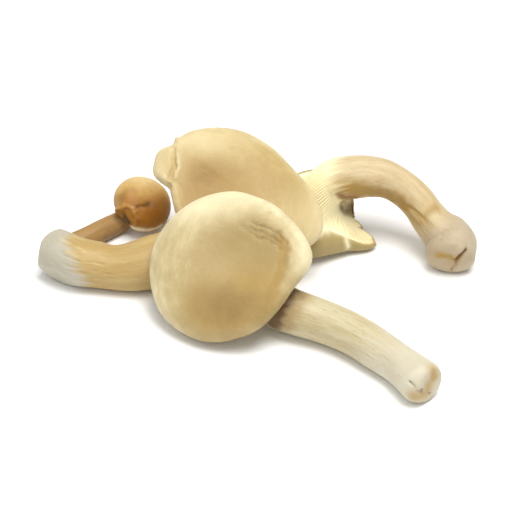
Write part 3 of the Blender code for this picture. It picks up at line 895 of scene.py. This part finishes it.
class Nodes:
    """A node tree, with a short way to add each kind of step. Most give one output."""

    def __init__(self, tree):
        self.tree = tree

    def feed(self, inputs, values):
        """Set or link inputs, by name or number."""
        for name, value in values.items():
            if isinstance(value, bpy.types.NodeSocket):
                self.tree.links.new(value, inputs[name])
            else:
                inputs[name].default_value = value

    def put(self, kind, inputs=None, **settings):
        """Add a node, make its settings, feed its inputs, and give all its outputs."""
        node = self.tree.nodes.new(kind)
        for name, value in settings.items():
            setattr(node, name, value)
        self.feed(node.inputs, inputs or {})
        return node.outputs

    def work(self, operation, *values):
        """One step of arithmetic."""
        return self.put("ShaderNodeMath", dict(enumerate(values)), operation=operation)[0]

    def times(self, product, *factors):
        """Multiply values, one after another."""
        for factor in factors:
            product = self.work("MULTIPLY", product, factor)
        return product

    def ramp(self, value, low, high, start=0.0, end=1.0):
        """A smooth change from start to end as the value goes from low to high."""
        inputs = {"Value": value, "From Min": low, "From Max": high, "To Min": start, "To Max": end}
        return self.put("ShaderNodeMapRange", inputs, interpolation_type="SMOOTHSTEP")[0]

    def noise(self, place, scale, detail, roughness=0.5):
        """Soft noise, from about 0 to 1."""
        inputs = {"Vector": place, "Scale": scale, "Detail": detail, "Roughness": roughness}
        return self.put("ShaderNodeTexNoise", inputs)[0]

    def object_place(self):
        """The place on the object, for a material."""
        return self.put("ShaderNodeTexCoord")["Object"]

    def read(self, name, kind="FLOAT"):
        """An attribute of the mesh in Geometry Nodes."""
        return self.put("GeometryNodeInputNamedAttribute", {"Name": name}, data_type=kind)["Attribute"]

    def mask(self, name):
        """An attribute of the mesh in a material."""
        return self.put("ShaderNodeAttribute", attribute_name=name)["Fac"]

    def raised(self, shape, height):
        """The shape with its points moved out along their normals."""
        normal = self.put("GeometryNodeInputNormal")[0]
        offset = self.put("ShaderNodeVectorMath", {0: normal, "Scale": height}, operation="SCALE")[0]
        return self.put("GeometryNodeSetPosition", {"Geometry": shape, "Offset": offset})[0]

    def finish(self, shape, material):
        """Make the instances real, set the material and give the result."""
        real = self.put("GeometryNodeRealizeInstances", {"Geometry": shape})[0]
        done = self.put("GeometryNodeSetMaterial", {"Geometry": real, "Material": material})[0]
        self.put("NodeGroupOutput", {0: done})

    def group(self, tree, inputs):
        """A shader group with its own values."""
        return self.put("ShaderNodeGroup", inputs, node_tree=tree)

    def layers(self, colour, *layers):
        """Lay colours over one another, each by its own mask."""
        for mask, above in layers:
            colour = self.put("ShaderNodeMix", {0: mask, 6: colour, 7: above}, data_type="RGBA")[2]
        return colour


def new_group(kind, name, inputs, outputs):
    """A node group with named inputs and outputs. One without a number is of the type that its name says."""
    tree = bpy.data.node_groups.new(name, kind)
    for way, sockets in (("INPUT", inputs), ("OUTPUT", outputs)):
        for label, value in sockets.items():
            held = label if value is None else "Float"
            socket = tree.interface.new_socket(label, in_out=way, socket_type="NodeSocket" + held)
            if value is not None:
                socket.default_value = value
    nodes = Nodes(tree)
    return nodes, nodes.put("NodeGroupInput")


def shaped(name, mesh, trees, material):
    """Run trees on a mesh, one after another, and return the result as a plain mesh object."""
    for tree in trees:
        piece = bpy.data.objects.new(name, mesh)
        bpy.context.scene.collection.objects.link(piece)
        modifier = piece.modifiers.new(tree.name, "NODES")
        modifier.node_group = tree
        for item in tree.interface.items_tree:
            if item.in_out == "INPUT" and item.name == "Material":
                modifier[item.identifier] = material
        bpy.context.view_layer.update()
        graph = bpy.context.evaluated_depsgraph_get()
        done = piece.evaluated_get(graph)
        mesh = bpy.data.meshes.new_from_object(done, preserve_all_data_layers=True, depsgraph=graph)
        bpy.data.objects.remove(piece)
    mesh.name = name
    piece = bpy.data.objects.new(name, mesh)
    bpy.context.scene.collection.objects.link(piece)
    return piece


# Relief

# How much the fibres gain at the felt's border, where its mask times one less the mask is at most a quarter.
BORDER_GAIN = 6.0


def gill_tree():
    """Fold the underside into thin gills, with a short one between each two."""
    nodes, sizes = new_group(
        "GeometryNodeTree",
        "gill_folds",
        {
            "Geometry": None,
            "Depth": 1.0,
            "Edge thickness": 0.035,
            "Slope": 0.14,
            "Short gills start": 0.45,
            "Short gills grow": 0.25,
            "Short gills height": 0.8,
            "Sink": 0.65,
            "Material": None,
        },
        {"Geometry": None},
    )
    phase = nodes.read("gill_phase")
    foot = nodes.work("ADD", sizes["Edge thickness"], sizes["Slope"])
    folds = []
    for place in (nodes.work("ADD", phase, 0.5), phase):
        apart = nodes.work("ABSOLUTE", nodes.work("SUBTRACT", nodes.work("FRACT", place), 0.5))
        folds.append(nodes.ramp(apart, sizes["Edge thickness"], foot, 1.0, 0.0))
    long_gill, short_gill = folds
    start = sizes["Short gills start"]
    grown = nodes.work("ADD", start, sizes["Short gills grow"])
    growing = nodes.ramp(nodes.read("gill_run"), start, grown, 0.0, sizes["Short gills height"])
    edge = nodes.work("MAXIMUM", long_gill, nodes.times(short_gill, growing))
    sunk = nodes.work("SUBTRACT", edge, sizes["Sink"])
    moved = nodes.raised(sizes["Geometry"], nodes.times(sunk, nodes.read("gill_room"), sizes["Depth"]))
    stored = {"Geometry": moved, "Name": "gill_edge", "Value": edge}
    kept = nodes.put("GeometryNodeStoreNamedAttribute", stored, domain="POINT")[0]
    nodes.finish(kept, sizes["Material"])
    return nodes.tree


def skin_tree():
    """Raise the stem's fibres, the felt of its base and the fine wrinkles of the cap."""
    nodes, sizes = new_group(
        "GeometryNodeTree",
        "skin_relief",
        {
            "Geometry": None,
            "Fibre depth": 0.0004,
            "Fibre scale": 700.0,
            "Border roughness": 1.6,
            "Felt depth": 0.0001,
            "Felt scale": 420.0,
            "Wrinkle depth": 0.0001,
            "Wrinkle scale": 420.0,
            "Material": None,
        },
        {"Geometry": None},
    )
    grain = nodes.read("grain", "FLOAT_VECTOR")
    felt = nodes.read("felt")
    free = nodes.work("SUBTRACT", 1.0, felt)
    fibre = nodes.work("SUBTRACT", nodes.noise(grain, sizes["Fibre scale"], 3.0, 0.55), 0.5)
    bare = nodes.times(nodes.read("stem"), nodes.read("bare"), free)
    border = nodes.times(felt, free, BORDER_GAIN)
    rough = nodes.work("MULTIPLY_ADD", border, sizes["Border roughness"], bare)
    fibres = nodes.times(fibre, rough, sizes["Fibre depth"])
    lump = nodes.noise(nodes.put("GeometryNodeInputPosition")[0], sizes["Felt scale"], 4.0, 0.6)
    lumpy = nodes.times(lump, felt, sizes["Felt depth"])
    wrinkle = nodes.work("SUBTRACT", nodes.noise(grain, sizes["Wrinkle scale"], 2.0), 0.5)
    wrinkles = nodes.times(wrinkle, nodes.read("cap"), sizes["Wrinkle depth"])
    height = nodes.work("ADD", nodes.work("ADD", fibres, lumpy), wrinkles)
    nodes.finish(nodes.raised(sizes["Geometry"], height), sizes["Material"])
    return nodes.tree


# Materials

# What the clouds are multiplied by and shifted by, how far they then move the border of a patch, and the
# values of its mask between which the patch comes in.
CLOUD_RANGE = (0.5, -0.25)
TAN_CLOUDS = 0.35
TAN_RANGE = (0.02, 1.0)
# The brown and dark masks hold stains and painted shade
BROWN_AND_DARK_CLOUDS = 0.3
BROWN_AND_DARK_RANGE = (0.1, 0.95)

# How strongly the stem's lines show through the felt, and how strong specks are.
FELT_LINES = 0.6
SPECK_STRENGTH = 0.8

# How far the roughness changes either way, on flesh and on the table.
FLESH_CHANGE = 0.08
TABLE_CHANGE = 0.05

# The fine bumps: the shares of streaks and grain in them, how strong they are and how high.
BUMP_STREAKS = 0.6
BUMP_GRAIN = 0.4
BUMP_STRENGTH = 0.35
BUMP_HEIGHT = 0.0002


def srgb(red, green, blue):
    """A colour as seen on a screen, from 0 to 255, as the shader's own numbers."""
    steps = [value / 255 for value in (red, green, blue)]
    linear = [s / 12.92 if s <= 0.04045 else ((s + 0.055) / 1.055) ** 2.4 for s in steps]
    return (*linear, 1.0)


def mottle_group():
    """Soft cloudy variation, and a finer grain, as two masks from 0 to 1."""
    sizes = {"Cloud scale": 90.0, "Grain scale": 900.0}
    nodes, given = new_group("ShaderNodeTree", "mottle", sizes, {"Cloud": 0.0, "Grain": 0.0})
    place = nodes.object_place()
    cloud = nodes.ramp(nodes.noise(place, given["Cloud scale"], 4.0, 0.6), 0.3, 0.7)
    grain = nodes.ramp(nodes.noise(place, given["Grain scale"], 3.0, 0.6), 0.25, 0.75)
    nodes.put("NodeGroupOutput", {"Cloud": cloud, "Grain": grain})
    return nodes.tree


def streak_group():
    """Streaks that follow the flesh: along a stem, and round a cap."""
    outputs = {"Streak": 0.0, "Broad": 0.0, "Line": 0.0}
    nodes, given = new_group("ShaderNodeTree", "streaks", {"Scale": 700.0}, outputs)
    way = nodes.put("ShaderNodeAttribute", attribute_name="grain")["Vector"]
    fine = nodes.noise(way, given["Scale"], 4.0, 0.65)
    broad = nodes.noise(way, nodes.times(given["Scale"], 0.3), 3.0)
    thin = nodes.noise(way, nodes.times(given["Scale"], 1.7), 2.0)
    fine = nodes.ramp(fine, 0.35, 0.68)
    broad = nodes.ramp(broad, 0.35, 0.65)
    thin = nodes.ramp(thin, 0.6, 0.72)
    nodes.put("NodeGroupOutput", {"Streak": fine, "Broad": broad, "Line": thin})
    return nodes.tree


def speck_group():
    """Tiny dark specks, far apart."""
    sizes = {"Scale": 260.0, "Size": 0.1, "Amount": 0.12}
    nodes, given = new_group("ShaderNodeTree", "specks", sizes, {"Speck": 0.0})
    cells = nodes.put("ShaderNodeTexVoronoi", {"Vector": nodes.object_place(), "Scale": given["Scale"]})
    dot = nodes.ramp(cells["Distance"], 0.0, given["Size"], 1.0, 0.0)
    chance = nodes.put("ShaderNodeSeparateColor", {0: cells["Color"]})[0]
    chosen = nodes.work("LESS_THAN", chance, given["Amount"])
    nodes.put("NodeGroupOutput", {"Speck": nodes.times(dot, chosen)})
    return nodes.tree


def new_material(name):
    """A material, its nodes, and the inputs of its surface."""
    material = bpy.data.materials.new(name)
    material.use_nodes = True
    tree = material.node_tree
    return material, Nodes(tree), tree.nodes["Principled BSDF"].inputs


def flesh_material(name, groups, looks):
    """The skin, gills and stem of one mushroom, mixed by the masks on its mesh."""
    material, nodes, surface = new_material(name)
    mottle = nodes.group(groups["mottle"], {"Cloud scale": 70.0, "Grain scale": 1300.0})
    streaks = nodes.group(groups["streaks"], {"Scale": looks["streak_scale"]})
    specks = nodes.group(groups["specks"], {"Amount": looks["specks"]})
    uneven = nodes.work("MULTIPLY_ADD", mottle["Cloud"], *CLOUD_RANGE)

    def clouded_mask(label, clouds, limits):
        return nodes.ramp(nodes.work("MULTIPLY_ADD", uneven, clouds, nodes.mask(label)), *limits)

    # The cap: pale skin, tan where it is worn or hollow and as painted shade low on the front, with faint
    # streaks
    tan = clouded_mask("tan", TAN_CLOUDS, TAN_RANGE)
    cap = nodes.layers(
        looks["pale"],
        (nodes.times(nodes.mask("edge"), looks["rim_pale"]), looks["cream"]),
        (tan, looks["tan"]),
        (nodes.times(streaks["Broad"], looks["cap_mottle"]), looks["mottle"]),
        (nodes.times(streaks["Streak"], looks["cap_streaks"]), looks["streak"]),
        (nodes.times(mottle["Cloud"], looks["cap_mottle"]), looks["mottle"]),
    )

    # The stem: cream, with tan streaks along it, which fade on the cut end, and tan that is partly painted
    # shade
    bare = nodes.mask("bare")
    lines = nodes.times(streaks["Line"], bare, looks["stem_lines"])
    stem = nodes.layers(
        looks["stem"],
        (nodes.times(streaks["Broad"], bare, looks["stem_mottle"]), looks["stem_tan"]),
        (nodes.times(streaks["Streak"], bare, looks["stem_streaks"]), looks["stem_streak"]),
        (lines, looks["stem_line"]),
        (tan, looks["stem_worn_and_shade"]),
    )
    felt = nodes.layers(
        looks["felt"],
        (mottle["Cloud"], looks["felt_grey"]),
        (nodes.times(lines, FELT_LINES), looks["stem_line"]),
    )

    # Over the gills, which are deep in colour between them and pale at their edges, all the rest
    colour = nodes.layers(
        looks["gill_deep"],
        (nodes.mask("gill_edge"), looks["gill"]),
        (nodes.mask("stem"), stem),
        (nodes.mask("cap"), cap),
        (nodes.mask("felt"), felt),
        (nodes.mask("ochre"), looks["ochre"]),
        # The brown and dark masks carry painted shade too: in creases, under a cap's edge and in a hollow
        (clouded_mask("brown", BROWN_AND_DARK_CLOUDS, BROWN_AND_DARK_RANGE), looks["brown"]),
        (clouded_mask("dark", BROWN_AND_DARK_CLOUDS, BROWN_AND_DARK_RANGE), looks["dark"]),
        (nodes.mask("cream"), looks["cream"]),
        (nodes.times(specks["Speck"], SPECK_STRENGTH), looks["speck"]),
    )
    low, high = looks["roughness"] - FLESH_CHANGE, looks["roughness"] + FLESH_CHANGE
    streaky = nodes.times(streaks["Streak"], BUMP_STREAKS)
    height = nodes.work("ADD", streaky, nodes.times(mottle["Grain"], BUMP_GRAIN))
    bumps = {"Strength": BUMP_STRENGTH, "Distance": BUMP_HEIGHT, "Height": height}
    nodes.feed(
        surface,
        {
            "Base Color": colour,
            "Roughness": nodes.ramp(mottle["Grain"], 0.0, 1.0, low, high),
            "Normal": nodes.put("ShaderNodeBump", bumps)[0],
            "Subsurface Weight": 0.25,
            "Subsurface Radius": (1.0, 0.7, 0.4),
            "Subsurface Scale": looks["depth"],
            "Specular IOR Level": 0.4,
        },
    )
    return material


def table_material(colour, roughness):
    """A plain surface with a very slight unevenness."""
    material, nodes, surface = new_material("table_top")
    cloud = nodes.noise(nodes.object_place(), 6.0, 2.0)
    low, high = roughness - TABLE_CHANGE, roughness + TABLE_CHANGE
    nodes.feed(surface, {"Roughness": nodes.ramp(cloud, 0.0, 1.0, low, high), "Base Color": colour})
    return material


# The looks of the front mushroom: colours from 0 to 255, strengths from 0 to 1, how fine the streaks are,
# and how deep light goes in, in metres.
BASE_LOOKS = {
    "streak_scale": 800.0,
    "specks": 0.06,
    "pale": (212, 197, 152),
    "tan": (160, 133, 76),
    "mottle": (170, 148, 100),
    "cap_mottle": 0.36,
    "streak": (150, 124, 80),
    "cap_streaks": 0.15,
    "rim_pale": 0.6,
    "gill": (250, 242, 206),
    "gill_deep": (206, 176, 118),
    "stem": (200, 190, 156),
    "stem_tan": (182, 164, 120),
    "stem_mottle": 0.6,
    "stem_streak": (158, 134, 90),
    "stem_streaks": 0.25,
    "stem_line": (130, 104, 64),
    "stem_lines": 0.35,
    "stem_worn_and_shade": (160, 134, 86),
    "felt": (208, 201, 180),
    "felt_grey": (198, 189, 164),
    "ochre": (172, 138, 62),
    "brown": (104, 76, 42),
    # dark: painted shade in the hollow under the right cap's edge, and the dark of a crack in its stem's base
    "dark": (104, 70, 24),
    "cream": (236, 226, 188),
    "speck": (100, 72, 40),
    "roughness": 0.52,
    "depth": 0.002,
}

# Where the others differ from it
LOOKS = {
    "front_mushroom": {},
    "back_mushroom": {
        "pale": (190, 167, 111),
        "tan": (158, 122, 54),
        "mottle": (166, 139, 82),
        "cream": (232, 218, 176),
        "stem": (188, 162, 106),
        "stem_tan": (172, 140, 80),
        "stem_streaks": 0.2,
        "stem_lines": 0.25,
        "stem_worn_and_shade": (172, 136, 76),
        "felt": (186, 180, 162),
        "felt_grey": (176, 169, 148),
    },
    "right_mushroom": {
        # The cap's skin is darkened as painted shade, since its strip of rim faces down, away from the light
        "pale": (168, 151, 96),
        "rim_pale": 0.0,
        "gill_deep": (240, 226, 180),
        "cream": (242, 232, 194),
        "stem": (206, 187, 148),
        "stem_tan": (190, 164, 118),
        "stem_worn_and_shade": (160, 128, 66),
        "felt": (184, 169, 142),
        "felt_grey": (175, 157, 127),
        "brown": (140, 92, 44),
    },
    "small_mushroom": {
        "pale": (200, 164, 90),
        "tan": (158, 98, 12),
        "mottle": (166, 116, 34),
        "rim_pale": 0.1,
        "cap_mottle": 0.28,
        "streak": (140, 90, 30),
        "stem": (162, 128, 76),
        "stem_tan": (142, 106, 58),
        "stem_streak": (140, 100, 52),
        "stem_streaks": 0.15,
        "stem_lines": 0.1,
        "gill": (224, 196, 140),
        "gill_deep": (180, 140, 84),
        "depth": 0.0005,
    },
}


# The studio: half the table's width and how far it lies below the mushrooms, the name, place, width and power
# of each lamp, and the height of the point that the lamps and the camera look at.
TABLE_HALF = 3.0
TABLE_DROP = 0.0002
LAMPS = (("key_light", (0.2, -0.1, 1.2), 0.7, 15.0), ("fill_light", (-0.5, -0.5, 1.0), 0.9, 3.0))
TARGET_HEIGHT = 0.02

# The camera, 1 m from that point: how far it looks down, in degrees, and its lens and sensor in millimetres.
CAMERA_ELEVATION = 38.0
CAMERA_LENS = 140.625
CAMERA_SENSOR = 36.0


def add_studio():
    """A pale table, soft lights, and a camera at the photograph's height and distance."""
    scene = bpy.context.scene
    table_mesh = bpy.data.meshes.new("table")
    half = TABLE_HALF
    corners = [(-half, -half, 0), (half, -half, 0), (half, half, 0), (-half, half, 0)]
    table_mesh.from_pydata(corners, [], [(0, 1, 2, 3)])
    table = bpy.data.objects.new("table", table_mesh)
    table_mesh.materials.append(table_material(srgb(250, 250, 249), 0.7))
    scene.collection.objects.link(table)
    table.location.z = -TABLE_DROP

    world = bpy.data.worlds.new("soft_room")
    world.use_nodes = True
    backdrop = world.node_tree.nodes["Background"].inputs
    backdrop["Color"].default_value = (1.0, 1.0, 1.0, 1.0)
    backdrop["Strength"].default_value = 0.5
    scene.world = world

    target = Vector((CLUSTER_SHIFT[0] * MM, CLUSTER_SHIFT[1] * MM, TARGET_HEIGHT))
    for name, place, size, power in LAMPS:
        data = bpy.data.lights.new(name, "AREA")
        data.size = size
        data.energy = power
        light = bpy.data.objects.new(name, data)
        light.location = place
        light.rotation_euler = (target - Vector(place)).to_track_quat("-Z", "Y").to_euler()
        scene.collection.objects.link(light)

    elevation = math.radians(CAMERA_ELEVATION)
    camera_data = bpy.data.cameras.new("camera")
    camera_data.lens = CAMERA_LENS
    camera_data.sensor_width = CAMERA_SENSOR
    camera_data.clip_start = 0.01
    camera = bpy.data.objects.new("camera", camera_data)
    camera.location = target + Vector((0.0, -math.cos(elevation), math.sin(elevation)))
    camera.rotation_euler = (math.pi / 2 - elevation, 0.0, 0.0)
    scene.collection.objects.link(camera)
    scene.camera = camera
    scene.view_settings.view_transform = "Standard"


def main():
    """Make the four mushrooms and the studio."""
    groups = {"mottle": mottle_group(), "streaks": streak_group(), "specks": speck_group()}
    trees = (skin_tree(), gill_tree())
    for row in MUSHROOMS:
        name = row["name"]
        looks = {**BASE_LOOKS, **LOOKS[name]}
        looks = {key: srgb(*value) if isinstance(value, tuple) else value for key, value in looks.items()}
        material = flesh_material(name + "_flesh", groups, looks)
        piece = shaped(name + "_fine", skin_mesh(row), trees, material)

        # Nothing may be below the table after the relief
        points = np.zeros(len(piece.data.vertices) * 3)
        piece.data.vertices.foreach_get("co", points)
        points[2::3] = np.maximum(points[2::3], 0.0)
        piece.data.vertices.foreach_set("co", points)
        piece.data.shade_smooth()
        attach(piece, "root")
        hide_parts(name)
    add_studio()


main()
